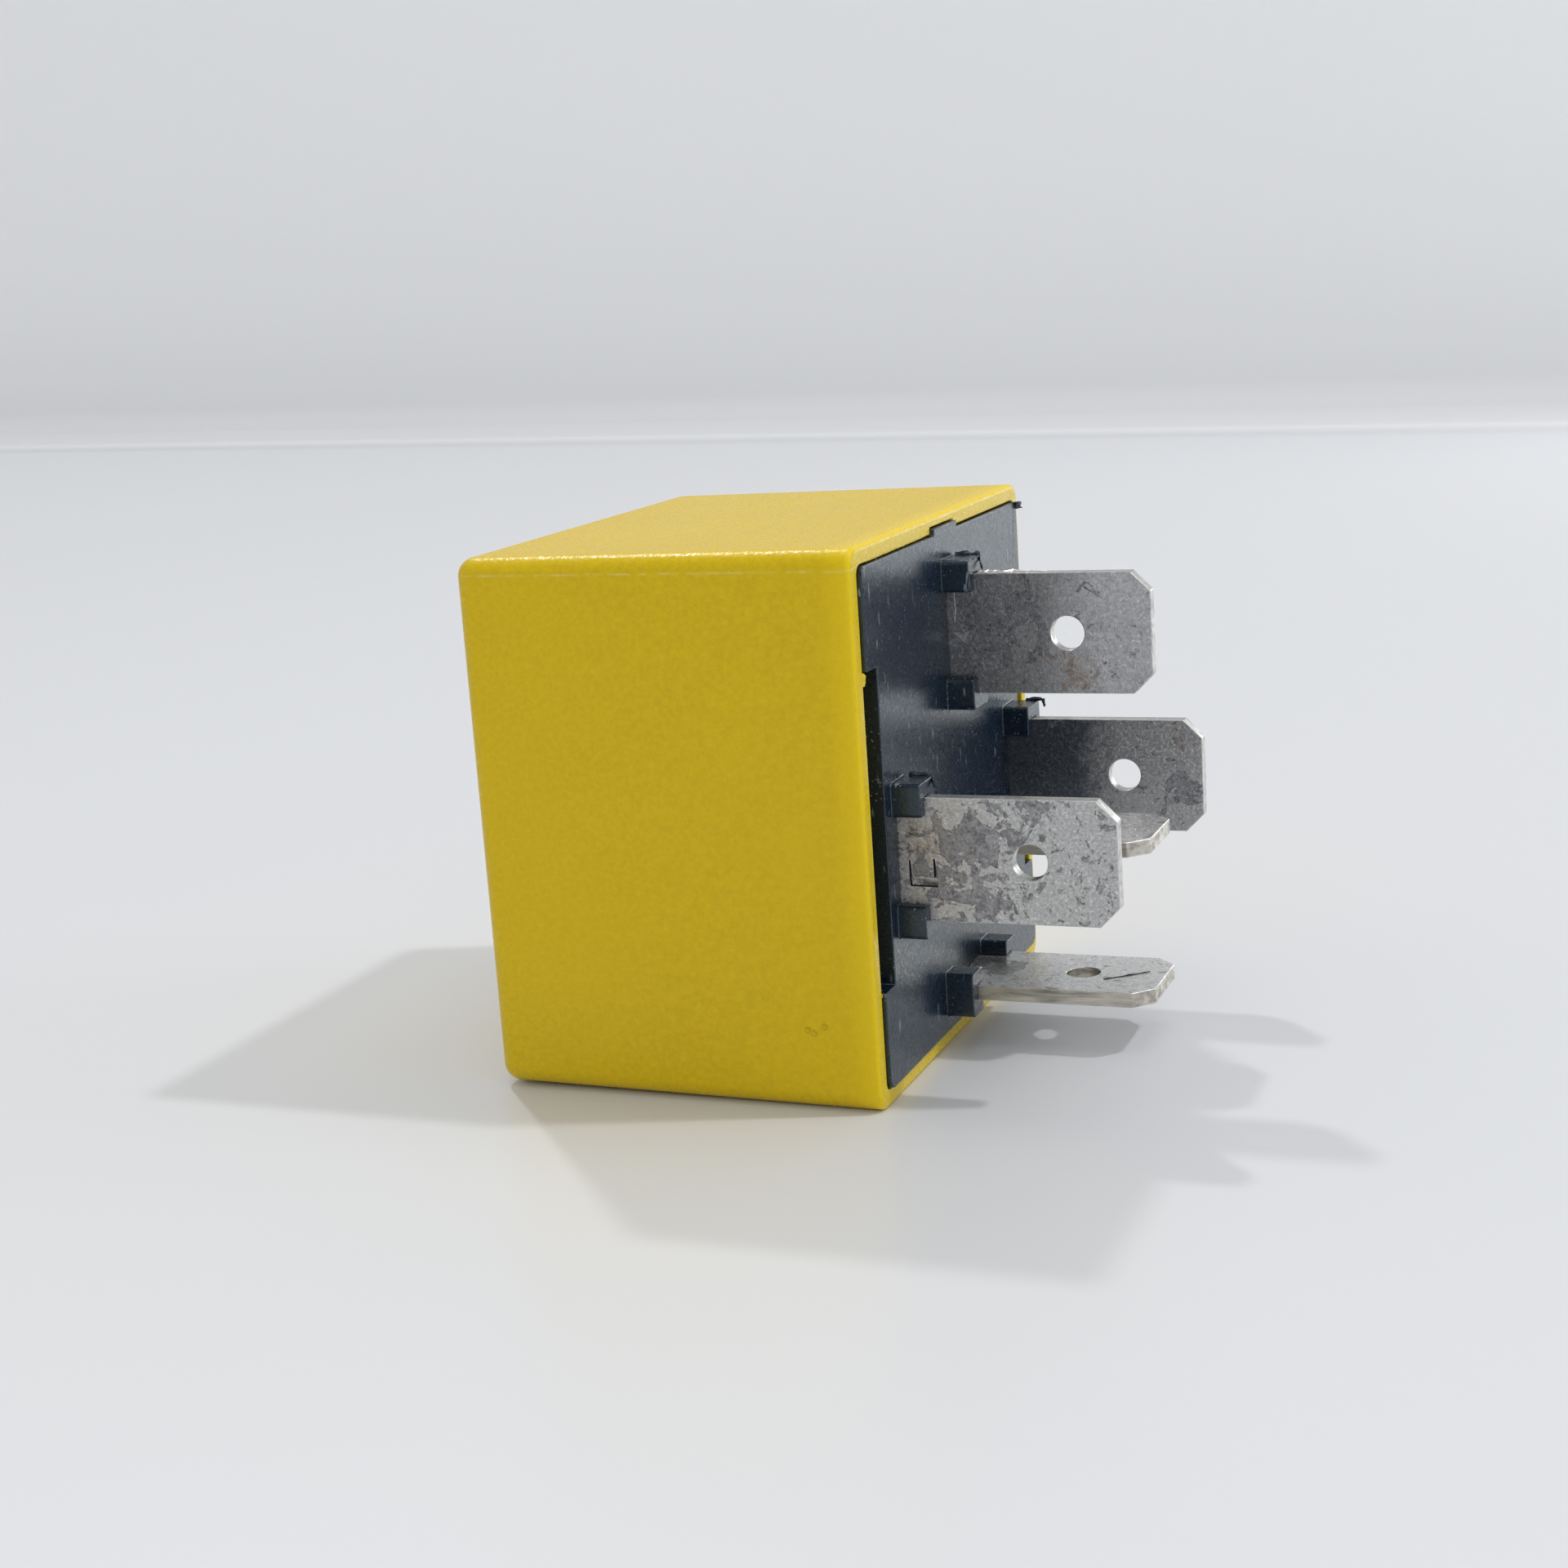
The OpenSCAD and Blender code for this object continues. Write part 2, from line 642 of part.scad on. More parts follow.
// a fixed contact riveted through its terminal, with its button towards +Z
module fixed_contact() {
    tail = 0.15;
    contact_button();
    translate([0, 0, -tab_t - fit]) cylinder(d = rivet_d - 2 * fit, h = tab_t + 2 * fit);
    translate([0, 0, -tab_t - tail]) cylinder(d = rivet_d + 0.4, h = tail);
}

module make_contact() {
    color("whitesmoke") place() translate([make_x, 0, contact_z]) rotate([0, -90, 0]) fixed_contact();
}

module break_contact() {
    color("whitesmoke") place() translate([break_x + tab_t, 0, contact_z])
        rotate([0, 90, 0]) fixed_contact();
}

// a rivet with its head on top of the spring, flush below
module spring_rivet(depth) {
    translate([0, 0, leaf_t]) cylinder(d = rivet_d + 0.9, h = rivet_head);
    translate([0, 0, -depth]) cylinder(d = rivet_d, h = depth + leaf_t + fit);
}

module armature_rivets() {
    color("gainsboro") place() swung_open() at_armature_rivets()
        mirror([0, 0, 1]) spring_rivet(armature_t);
}

module yoke_rivets() {
    color("gainsboro") place() at_yoke_rivets() spring_rivet(yoke_t);
}

housing();
base();
terminal_30();
terminal_85();
terminal_86();
terminal_87();
terminal_87a();
yoke();
core();
bobbin();
winding();
coil_tape();
coil_solder();
armature();
contact_spring();
moving_contact();
make_contact();
break_contact();
armature_rivets();
yoke_rivets();
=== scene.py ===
"""An automotive changeover relay lying on one side of its yellow housing, on a plain white table."""
import json
import math

import bmesh
import bpy
from mathutils import Matrix, Vector


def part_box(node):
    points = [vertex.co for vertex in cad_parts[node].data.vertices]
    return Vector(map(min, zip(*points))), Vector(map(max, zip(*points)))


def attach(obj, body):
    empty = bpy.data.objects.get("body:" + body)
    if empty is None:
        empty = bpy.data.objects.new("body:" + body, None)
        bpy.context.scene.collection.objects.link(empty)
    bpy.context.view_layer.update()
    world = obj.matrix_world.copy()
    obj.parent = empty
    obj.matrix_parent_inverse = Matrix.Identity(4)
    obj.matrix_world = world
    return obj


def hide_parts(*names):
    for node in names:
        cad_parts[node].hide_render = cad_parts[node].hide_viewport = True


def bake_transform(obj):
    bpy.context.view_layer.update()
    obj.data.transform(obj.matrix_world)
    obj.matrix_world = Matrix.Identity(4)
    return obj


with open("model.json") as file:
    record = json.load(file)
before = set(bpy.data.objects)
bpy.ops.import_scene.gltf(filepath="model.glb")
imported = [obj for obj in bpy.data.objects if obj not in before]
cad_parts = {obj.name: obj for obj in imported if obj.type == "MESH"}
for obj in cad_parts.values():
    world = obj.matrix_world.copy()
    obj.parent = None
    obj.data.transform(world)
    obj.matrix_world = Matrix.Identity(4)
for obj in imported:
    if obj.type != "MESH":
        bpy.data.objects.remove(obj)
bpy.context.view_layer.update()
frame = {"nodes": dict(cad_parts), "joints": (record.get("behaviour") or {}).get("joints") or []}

parts = frame["nodes"]
scene = bpy.context.scene

# ---------------------------------------------------------------- yoke and core
# The magnet's iron: a yoke bent from 1.8 mm strip and a turned core with a pole disc,
# riveted together at the foot. Both are soft iron under a thin, cloudy zinc plate.


def add(tree, kind, inputs=None, **settings):
    """A shader node. An input given as another node's socket is linked, any other value is set."""
    made = tree.nodes.new(kind)
    for name, value in settings.items():
        setattr(made, name, value)
    for name, value in (inputs or {}).items():
        if isinstance(value, bpy.types.NodeSocket):
            tree.links.new(value, made.inputs[name])
        else:
            made.inputs[name].default_value = value
    return made


def mix(tree, factor, a, b):
    """Two colours mixed. The mix node's colour sockets are its inputs 6 and 7 and its output 2."""
    return add(tree, "ShaderNodeMix", {0: factor, 6: a, 7: b}, data_type="RGBA").outputs[2]


def calc(tree, operation, a, b=0.0):
    """One step of arithmetic on two numbers."""
    return add(tree, "ShaderNodeMath", {0: a, 1: b}, operation=operation).outputs[0]


def ramp(tree, value, low, high, start=0.0, end=1.0):
    """The value's climb from low to high, as a number from start to end."""
    return add(tree, "ShaderNodeMapRange", {"Value": value, "From Min": low, "From Max": high,
                                            "To Min": start, "To Max": end}).outputs["Result"]


def clouds(tree, spot, per_mm, detail=3.0, rough=0.55, twist=0.0):
    """Soft noise from 0 to 1, with about this many blots in a millimetre."""
    return add(tree, "ShaderNodeTexNoise", {"Vector": spot, "Scale": per_mm, "Detail": detail,
                                            "Roughness": rough, "Distortion": twist}).outputs["Fac"]


def spot_in_mm(tree, stretch=(1000.0, 1000.0, 1000.0)):
    """The place on the part, counted in millimetres, or in other units where the pattern is drawn out."""
    place = add(tree, "ShaderNodeTexCoord").outputs["Object"]
    return add(tree, "ShaderNodeVectorMath", {0: place, 1: stretch}, operation="MULTIPLY").outputs[0]


def shader_group(name, inputs, outputs):
    """An empty shader node group with these sockets, given as (name, kind, value) and (name, kind)."""
    tree = bpy.data.node_groups.new(name, "ShaderNodeTree")
    for label, kind, value in inputs:
        socket = tree.interface.new_socket(label, in_out="INPUT", socket_type="NodeSocket" + kind)
        socket.default_value = value
    for label, kind in outputs:
        tree.interface.new_socket(label, in_out="OUTPUT", socket_type="NodeSocket" + kind)
    return tree, tree.nodes.new("NodeGroupInput").outputs, tree.nodes.new("NodeGroupOutput").inputs


def surface(name, **constants):
    """A new material with its tree and its Principled shader, whose sockets take these constants."""
    material = bpy.data.materials.new(name)
    material.use_nodes = True
    shader = material.node_tree.nodes["Principled BSDF"]
    for label, value in constants.items():
        shader.inputs[label.replace("_", " ")].default_value = value
    return material, material.node_tree, shader


def dress(tree, shader, height, depth, **drives):
    """Links the sockets that vary, and bumps the surface by a height map this many metres deep."""
    for label, socket in drives.items():
        tree.links.new(socket, shader.inputs[label.replace("_", " ")])
    bump = add(tree, "ShaderNodeBump", {"Distance": depth, "Height": height})
    tree.links.new(bump.outputs["Normal"], shader.inputs["Normal"])


def wear(node, material):
    """Gives a part's own mesh this one finish."""
    mesh = parts[node].data
    mesh.materials.clear()
    mesh.materials.append(material)


# a mask along a part's outer edges, where a rounded normal leaves the true one: on metal and
# on the bobbin it marks rubbed, worn edges, on the yellow cup it is partly scuffing and partly
# a painted highlight, and on the black base it is a painted highlight
edge_wear_and_highlight, given, out = shader_group(
    "edge_wear_and_highlight", [("Reach", "Float", 0.00015), ("Patches per mm", "Float", 1.0)], [("Mask", "Float")])
t = edge_wear_and_highlight
soft = add(t, "ShaderNodeBevel", {"Radius": given["Reach"]}, samples=4).outputs["Normal"]
true = add(t, "ShaderNodeNewGeometry").outputs["Normal"]
turn = add(t, "ShaderNodeVectorMath", {0: soft, 1: true}, operation="DOT_PRODUCT").outputs["Value"]
turn = ramp(t, turn, 0.995, 0.85)
patch = ramp(t, clouds(t, spot_in_mm(t), given["Patches per mm"], 4.0), 0.42, 0.6)
t.links.new(calc(t, "MULTIPLY", turn, patch), out["Mask"])

# plated or bare metal: a cloudy film over fine lines that the rolls or the tool left
metal_grain, given, out = shader_group(
    "metal_grain",
    [("Clean", "Color", (0.5, 0.5, 0.5, 1)), ("Dull", "Color", (0.3, 0.3, 0.3, 1)),
     ("Lines", "Vector", (900.0, 9000.0, 9000.0)), ("Clouds per mm", "Float", 0.4)],
    [("Colour", "Color"), ("Roughness", "Float"), ("Height", "Float")])
t = metal_grain
place = add(t, "ShaderNodeTexCoord").outputs["Object"]
drawn = add(t, "ShaderNodeVectorMath", {0: place, 1: given["Lines"]}, operation="MULTIPLY").outputs[0]
lines = clouds(t, drawn, 1.0, 3.0, 0.6)
broad = calc(t, "MULTIPLY", given["Clouds per mm"], 0.16)
broad = add(t, "ShaderNodeVectorMath", {0: drawn, "Scale": broad}, operation="SCALE").outputs[0]
film = ramp(t, clouds(t, broad, 1.0, 5.0, 0.62, 0.4), 0.38, 0.64)
both = calc(t, "MULTIPLY", film, lines)
t.links.new(mix(t, both, given["Clean"], given["Dull"]), out["Colour"])
t.links.new(ramp(t, both, 0.0, 1.0, 0.26, 0.6), out["Roughness"])
t.links.new(lines, out["Height"])


def plain_metal(name, clean, dull, lines, per_mm=0.4, worn=(0.6, 0.6, 0.6, 1)):
    """A metal's finish from its clean and dull colours and the way its fine lines run."""
    material, tree, shader = surface(name, Metallic=1.0)
    look = {"Clean": clean, "Dull": dull, "Lines": lines, "Clouds per mm": per_mm}
    grain = add(tree, "ShaderNodeGroup", look, node_tree=metal_grain)
    worn_and_lit_edges = add(tree, "ShaderNodeGroup", node_tree=edge_wear_and_highlight).outputs["Mask"]
    dress(tree, shader, grain.outputs["Height"], 4e-6,
          Base_Color=mix(tree, worn_and_lit_edges, grain.outputs["Colour"], worn), Roughness=grain.outputs["Roughness"])
    return material


iron = plain_metal("zinc_plated_iron", (0.52, 0.53, 0.54, 1), (0.36, 0.36, 0.35, 1), (1500.0, 9000.0, 1500.0))
turned = plain_metal("turned_iron", (0.56, 0.56, 0.55, 1), (0.40, 0.39, 0.37, 1), (9000.0, 1200.0, 1200.0))
wear("yoke", iron)
wear("core", turned)
wear("armature", iron)

# ---------------------------------------------------------------- bobbin
# The spool that the coil is wound on, moulded in natural glass-filled nylon. It slides
# over the core, and a wing on each side steadies a coil terminal's post.
moulded_skin, given, out = shader_group(
    "moulded_skin",
    [("Colour", "Color", (0.5, 0.5, 0.5, 1)), ("Shade", "Float", 0.94), ("Grain per mm", "Float", 9.0)],
    [("Colour", "Color"), ("Grain", "Float"), ("Height", "Float")])
t = moulded_skin
spot = spot_in_mm(t)
fine = clouds(t, spot, given["Grain per mm"], 2.0, 0.5)
broad = ramp(t, clouds(t, spot, 0.11, 2.0), 0.3, 0.7)
shaded = add(t, "ShaderNodeVectorMath", {0: given["Colour"], "Scale": given["Shade"]},
             operation="SCALE").outputs[0]
t.links.new(mix(t, broad, shaded, given["Colour"]), out["Colour"])
t.links.new(fine, out["Grain"])
t.links.new(calc(t, "ADD", fine, calc(t, "MULTIPLY", broad, 2.0)), out["Height"])

nylon, tree, shader = surface("natural_nylon", IOR=1.53, Subsurface_Weight=0.1, Subsurface_Scale=0.0006)
skin = add(tree, "ShaderNodeGroup", {"Colour": (0.72, 0.68, 0.56, 1), "Grain per mm": 7.0},
           node_tree=moulded_skin)
worn_and_lit_edges = add(tree, "ShaderNodeGroup", node_tree=edge_wear_and_highlight).outputs["Mask"]
dress(tree, shader, skin.outputs["Height"], 6e-6,
      Base_Color=mix(tree, worn_and_lit_edges, skin.outputs["Colour"], (0.82, 0.8, 0.72, 1)),
      Roughness=ramp(tree, skin.outputs["Grain"], 0.3, 0.7, 0.38, 0.55))
wear("bobbin", nylon)

# ---------------------------------------------------------------- winding, tape and solder
# Fine enamelled copper wire wound in layers, held by one turn of clear yellow polyester
# tape. Each end of the wire is wrapped round a post and soldered.
enamel, tree, shader = surface("enamelled_wire", Metallic=0.85, Coat_Weight=0.6, Coat_Roughness=0.12)
turns = add(tree, "ShaderNodeTexWave", {"Vector": spot_in_mm(tree), "Scale": 1.25, "Distortion": 0.35,
                                        "Detail": 1.0}, wave_type="BANDS", bands_direction="X").outputs["Fac"]
shade = clouds(tree, spot_in_mm(tree), 0.9, 3.0)
dress(tree, shader, turns, 4e-5,
      Base_Color=mix(tree, shade, (0.42, 0.13, 0.04, 1), (0.62, 0.24, 0.08, 1)),
      Roughness=ramp(tree, turns, 0.0, 1.0, 0.42, 0.24))
wear("winding", enamel)

tape, tree, shader = surface("polyester_tape", IOR=1.6, Coat_Weight=0.5, Coat_Roughness=0.1)
skin = add(tree, "ShaderNodeGroup", {"Colour": (0.62, 0.45, 0.12, 1), "Shade": 0.85, "Grain per mm": 2.0},
           node_tree=moulded_skin)
dress(tree, shader, skin.outputs["Height"], 1.2e-5, Base_Color=skin.outputs["Colour"],
      Roughness=ramp(tree, skin.outputs["Grain"], 0.3, 0.7, 0.22, 0.4))
wear("coil_tape", tape)

wear("coil_solder", plain_metal("soft_solder", (0.68, 0.69, 0.7, 1), (0.45, 0.45, 0.44, 1),
                                (900.0, 900.0, 900.0), 1.4, (0.78, 0.78, 0.78, 1)))

# ---------------------------------------------------------------- spring, rivets and contacts
# A leaf of phosphor bronze bends round the hinge, riveted to the yoke's back and to the
# armature. It carries a silver rivet between the two silver contacts of the terminals.
bronze = plain_metal("phosphor_bronze", (0.68, 0.45, 0.26, 1), (0.46, 0.29, 0.15, 1),
                     (9000.0, 9000.0, 900.0), 0.5, (0.8, 0.6, 0.42, 1))
wear("contact_spring", bronze)

# the leaf flexes from just before its bend to just below it, and is cut finely enough there
sharp = math.radians(35)     # edges that turn by more than this are kept crisp
weld = 2e-7                  # corners nearer than this are one, in metres
hinge = Vector(frame["joints"][0]["pos_m"])
low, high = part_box("contact_spring")
flex_from = Vector((hinge.x + 0.001, 0, high.z))
flex_to = Vector((low.x, 0, hinge.z - 0.003))
flex_steps = 9
mesh = bpy.data.meshes.new("leaf_spring")
work = bmesh.new()
work.from_mesh(parts["contact_spring"].data)
bmesh.ops.remove_doubles(work, verts=work.verts, dist=weld)
for step in range(1, flex_steps):
    bmesh.ops.bisect_plane(work, geom=work.verts[:] + work.edges[:] + work.faces[:],
                           plane_co=flex_from.lerp(flex_to, step / flex_steps), plane_no=flex_to - flex_from)
for face in work.faces:
    face.smooth = True
work.to_mesh(mesh)
work.free()
mesh.set_sharp_from_angle(angle=sharp)
leaf = bpy.data.objects.new("leaf_spring", mesh)
scene.collection.objects.link(leaf)
leaf.data.materials.append(bronze)
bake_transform(leaf)
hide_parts("contact_spring")

steel = plain_metal("rivet_steel", (0.55, 0.55, 0.56, 1), (0.34, 0.33, 0.32, 1),
                    (2500.0, 2500.0, 2500.0), 1.2)
for node in ("armature_rivets", "yoke_rivets"):
    wear(node, steel)
silver = plain_metal("silver_alloy", (0.83, 0.81, 0.77, 1), (0.36, 0.31, 0.26, 1),
                     (3000.0, 3000.0, 3000.0), 0.9, (0.9, 0.88, 0.85, 1))
for node in ("moving_contact", "make_contact", "break_contact"):
    wear(node, silver)

# ---------------------------------------------------------------- base
# The dark plate that closes the housing and holds all five terminals, moulded in black
# glass-filled nylon. Guide bosses grip each blade, and thin flash stands on some edges.


def mm(*corners):
    """Corners given in millimetres, as vectors in metres."""
    return [Vector(corner) / 1000 for corner in corners]


def carved(mesh, cutters):
    """The mesh less some small convex cutters, each given by its corners."""
    tool = bpy.data.meshes.new("cutters")
    work = bmesh.new()
    for corners in cutters:
        hull = bmesh.ops.convex_hull(work, input=[work.verts.new(corner) for corner in corners])
        bmesh.ops.delete(work, geom=hull["geom_interior"], context="VERTS")
    work.to_mesh(tool)
    work.free()
    block, knife = bpy.data.objects.new("block", mesh), bpy.data.objects.new("knife", tool)
    for made in (block, knife):
        scene.collection.objects.link(made)
    cut = block.modifiers.new("cut", "BOOLEAN")
    cut.operation, cut.object, cut.solver, cut.use_self = "DIFFERENCE", knife, "EXACT", True
    result = bpy.data.meshes.new_from_object(block.evaluated_get(bpy.context.evaluated_depsgraph_get()))
    for made in (block, knife):
        bpy.data.objects.remove(made)
    return result


def within(spot, corners, slack=5e-5):
    """Whether a place lies in the box round some corners, or a hair outside it."""
    spans = ((min(axis), max(axis)) for axis in zip(*corners))
    return all(least - slack <= value <= most + slack for value, (least, most) in zip(spot, spans))


def remade(node, name, rounding, cut_axis=None, weld=weld, fuller=None, cutters=()):
    """A merged copy of a part with its edges rounded, that stands for it. With a cut axis,
    the faces that don't look along that axis take the second finish, and what the cutters
    leave takes the third. Where fuller is given, the edges that it doesn't pick are rounded
    by only a third as much."""
    mesh = bpy.data.meshes.new(name)
    work = bmesh.new()
    work.from_mesh(parts[node].data)
    bmesh.ops.remove_doubles(work, verts=work.verts, dist=weld)
    level = math.radians(0.6)
    bmesh.ops.dissolve_limit(work, angle_limit=level, verts=work.verts, edges=work.edges)
    work.normal_update()
    share = work.edges.layers.float.new("bevel_weight_edge")
    for edge in work.edges:
        if len(edge.link_faces) == 2 and edge.calc_face_angle() > sharp:
            middle = (edge.verts[0].co + edge.verts[1].co) / 2
            edge[share] = 1.0 if fuller is None or fuller(middle) else 0.33
    for face in work.faces:
        face.smooth = True
        if cut_axis is not None:
            face.material_index = int(abs(face.normal[cut_axis]) < 0.7)
    work.to_mesh(mesh)
    work.free()
    if cutters:
        mesh = carved(mesh, cutters)
        mesh.name = name
        for face in mesh.polygons:
            inside = any(within(face.center, corners) for corners in cutters)
            face.material_index = 0 if abs(face.normal[cut_axis]) > 0.97 else 2 if inside else 1
    mesh.set_sharp_from_angle(angle=sharp)
    piece = bpy.data.objects.new(name, mesh)
    scene.collection.objects.link(piece)
    bevel = piece.modifiers.new("rounded_edges", "BEVEL")
    bevel.width = rounding
    bevel.segments = 3
    bevel.limit_method = "WEIGHT"
    bevel.use_clamp_overlap = False
    bevel.face_strength_mode = "FSTR_AFFECTED"
    even = piece.modifiers.new("flat_faces_stay_flat", "WEIGHTED_NORMAL")
    even.keep_sharp = True
    even.use_face_influence = True
    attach(piece, "relay")
    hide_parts(node)
    return piece


black, tree, shader = surface("black_nylon", IOR=1.7, Specular_Tint=(0.78, 0.96, 1.0, 1))
spot = spot_in_mm(tree)
skin = add(tree, "ShaderNodeGroup", {"Colour": (0.003, 0.0095, 0.025, 1), "Shade": 0.8, "Grain per mm": 5.0},
           node_tree=moulded_skin)
fleck = add(tree, "ShaderNodeTexVoronoi", {"Vector": spot, "Scale": 4.2}).outputs["Distance"]
scratch = clouds(tree, spot_in_mm(tree, (2500.0, 2500.0, 600.0)), 1.0, 2.0)
flecked = ramp(tree, clouds(tree, spot, 0.5, 2.0), 0.46, 0.56)
scratched = ramp(tree, clouds(tree, spot, 0.35, 2.0), 0.46, 0.56)
fleck = calc(tree, "MULTIPLY", ramp(tree, fleck, 0.2, 0.1), flecked)
scratch = calc(tree, "MULTIPLY", ramp(tree, scratch, 0.65, 0.71), scratched)
pale = calc(tree, "MAXIMUM", fleck, scratch)
# painted highlight: the edge mask pales the base's outer edges a little towards grey
worn_and_lit_edges = add(tree, "ShaderNodeGroup", {"Reach": 0.00012}, node_tree=edge_wear_and_highlight).outputs["Mask"]
colour = mix(tree, calc(tree, "MULTIPLY", pale, 0.9), skin.outputs["Colour"], (0.26, 0.3, 0.33, 1))
dress(tree, shader, calc(tree, "ADD", skin.outputs["Height"], pale), 1.0e-5,
      Base_Color=mix(tree, calc(tree, "MULTIPLY", worn_and_lit_edges, 0.25), colour, (0.16, 0.18, 0.2, 1)),
      Roughness=ramp(tree, skin.outputs["Grain"], 0.3, 0.7, 0.22, 0.36))
wear("base", black)
base = remade("base", "base_moulding", rounding=0.00006)
base.data.materials.append(black)


def ridge_tree():
    """The nodes that grow a thin ragged ridge along a path: a burr, or a fin of moulding flash."""
    tree = bpy.data.node_groups.new("ragged_ridge", "GeometryNodeTree")
    sockets = {}
    for label, kind, value in (
            ("Path", "Geometry", None), ("Height", "Float", 0.0001), ("Width", "Float", 0.0001),
            ("Step", "Float", 0.0001), ("Raggedness", "Float", 0.5), ("Rise", "Vector", (0.0, 0.0, 1.0)),
            ("Seed", "Int", 1), ("Finish", "Material", None)):
        socket = tree.interface.new_socket(label, in_out="INPUT", socket_type="NodeSocket" + kind)
        if value is not None:
            socket.default_value = value
        sockets[label] = socket.identifier
    tree.interface.new_socket("Ridge", in_out="OUTPUT", socket_type="NodeSocketGeometry")
    given = tree.nodes.new("NodeGroupInput").outputs
    line = add(tree, "GeometryNodeMeshToCurve", {"Mesh": given["Path"]}).outputs[0]
    line = add(tree, "GeometryNodeResampleCurve", {"Curve": line, "Length": given["Step"]},
               mode="LENGTH").outputs[0]
    line = add(tree, "GeometryNodeSetCurveNormal", {"Curve": line, "Normal": given["Rise"]},
               mode="FREE").outputs[0]
    least = calc(tree, "SUBTRACT", 1.0, given["Raggedness"])
    tall = add(tree, "FunctionNodeRandomValue", {2: least, 3: 1.0, "Seed": given["Seed"]},
               data_type="FLOAT").outputs[1]
    profile = add(tree, "GeometryNodeCurvePrimitiveCircle", {"Resolution": 3, "Radius": 1.0}).outputs[0]
    shape = add(tree, "ShaderNodeCombineXYZ", {0: given["Height"], 1: given["Width"], 2: 1.0}).outputs[0]
    profile = add(tree, "GeometryNodeTransform", {"Geometry": profile, "Scale": shape}).outputs[0]
    solid = add(tree, "GeometryNodeCurveToMesh", {"Curve": line, "Profile Curve": profile, "Scale": tall,
                                                  "Fill Caps": True}).outputs[0]
    solid = add(tree, "GeometryNodeRealizeInstances", {"Geometry": solid}).outputs[0]
    solid = add(tree, "GeometryNodeSetMaterial", {"Geometry": solid, "Material": given["Finish"]}).outputs[0]
    tree.links.new(solid, tree.nodes.new("NodeGroupOutput").inputs[0])
    return tree, sockets


ridge_nodes, ridge_sockets = ridge_tree()


def ragged_ridge(name, path, rise, height, width, step, raggedness, seed, finish, slot):
    """One ridge along a path, grown by the nodes and kept as a plain closed mesh. It stands
    up along rise, and its height, width and step are in metres."""
    wire = bpy.data.meshes.new(name)
    wire.from_pydata(path, [(i, i + 1) for i in range(len(path) - 1)], [])
    guide = bpy.data.objects.new("guide", wire)
    scene.collection.objects.link(guide)
    grown = guide.modifiers.new("ridge", "NODES")
    grown.node_group = ridge_nodes
    for label, value in (("Height", height), ("Width", width), ("Step", step), ("Raggedness", raggedness),
                         ("Rise", rise), ("Seed", seed), ("Finish", finish)):
        grown[ridge_sockets[label]] = value
    mesh = bpy.data.meshes.new_from_object(guide.evaluated_get(bpy.context.evaluated_depsgraph_get()))
    bpy.data.objects.remove(guide)
    work = bmesh.new()
    work.from_mesh(mesh)
    bmesh.ops.remove_doubles(work, verts=work.verts, dist=1e-8)
    bmesh.ops.recalc_face_normals(work, faces=work.faces)
    work.to_mesh(mesh)
    work.free()
    mesh.name = name
    piece = bpy.data.objects.new(name, mesh)
    scene.collection.objects.link(piece)
    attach(piece, "relay")
    return piece


# each ridge: name, path, rise, height, width, step, raggedness and seed
flash = [
    ("flash_boss_30",
     mm((5.3, 1.1, 25.6), (6.1, 1.12, 25.68), (6.7, 1.05, 25.6), (6.85, 0.6, 25.3), (7.0, 0.5, 24.95)),
     (0.3, 0.0, 1.0), 0.00024, 0.00005, 0.00016, 0.85, 3),
    ("flash_boss_30_tip", mm((6.72, -1.0, 25.5), (6.75, 0.2, 25.62), (6.73, 1.1, 25.5)),
     (0.6, 0.0, 1.0), 0.0001, 0.00005, 0.00014, 0.8, 8),
    ("flash_boss_85", mm((5.5, -8.6, 16.0), (6.3, -8.5, 16.0), (6.75, -8.7, 15.9), (6.95, -9.0, 15.5)),
     (0.2, 0.0, 1.0), 0.0002, 0.00006, 0.00018, 0.7, 5),
    ("flash_boss_86", mm((6.0, 10.6, 16.0), (6.7, 10.5, 16.05), (7.15, 10.2, 16.1), (7.3, 10.0, 15.8)),
     (0.5, 0.0, 1.0), 0.0002, 0.00008, 0.00016, 0.7, 11),
    ("flash_corner", mm((5.15, 12.2, 27.02), (5.25, 12.9, 27.0), (5.2, 13.05, 26.6)),
     (1.0, 0.2, 0.1), 0.00045, 0.00008, 0.00014, 0.75, 2),
    ("flash_plate_edge", mm((5.24, -12.98, 26.8), (5.24, -12.97, 24.6), (5.24, -12.98, 22.2)),
     (1.0, -0.4, 0.0), 0.00006, 0.00004, 0.00016, 0.8, 21),
]
for ridge in flash:
    ragged_ridge(*ridge, black, "base")

# ---------------------------------------------------------------- terminals
# Five flat blades, 6.3 mm wide, stamped from 0.8 mm brass sheet and tinned. Handling and
# age have stained each one differently, and the cut edges are bare metal.
tarnish, given, out = shader_group(
    "tarnish",
    [("Clean", "Color", (0.5, 0.5, 0.5, 1)), ("Dull", "Color", (0.3, 0.3, 0.3, 1)),
     ("Stain", "Color", (0.2, 0.2, 0.25, 1)), ("Warm", "Color", (0.4, 0.33, 0.25, 1)),
     ("Rubbed from", "Float", 8.0), ("Rubbed to", "Float", 13.0),
     ("Stained at", "Vector", (0.0, 0.0, 0.0)), ("Stained within", "Float", 2.0),
     ("Stains elsewhere", "Float", 0.4),
     ("Warm at", "Vector", (0.0, 0.0, 0.0)), ("Warm within", "Float", 2.0), ("Blots per mm", "Float", 0.8)],
    [("Colour", "Color"), ("Stained", "Float"), ("Height", "Float")])
t = tarnish
spot = spot_in_mm(t)


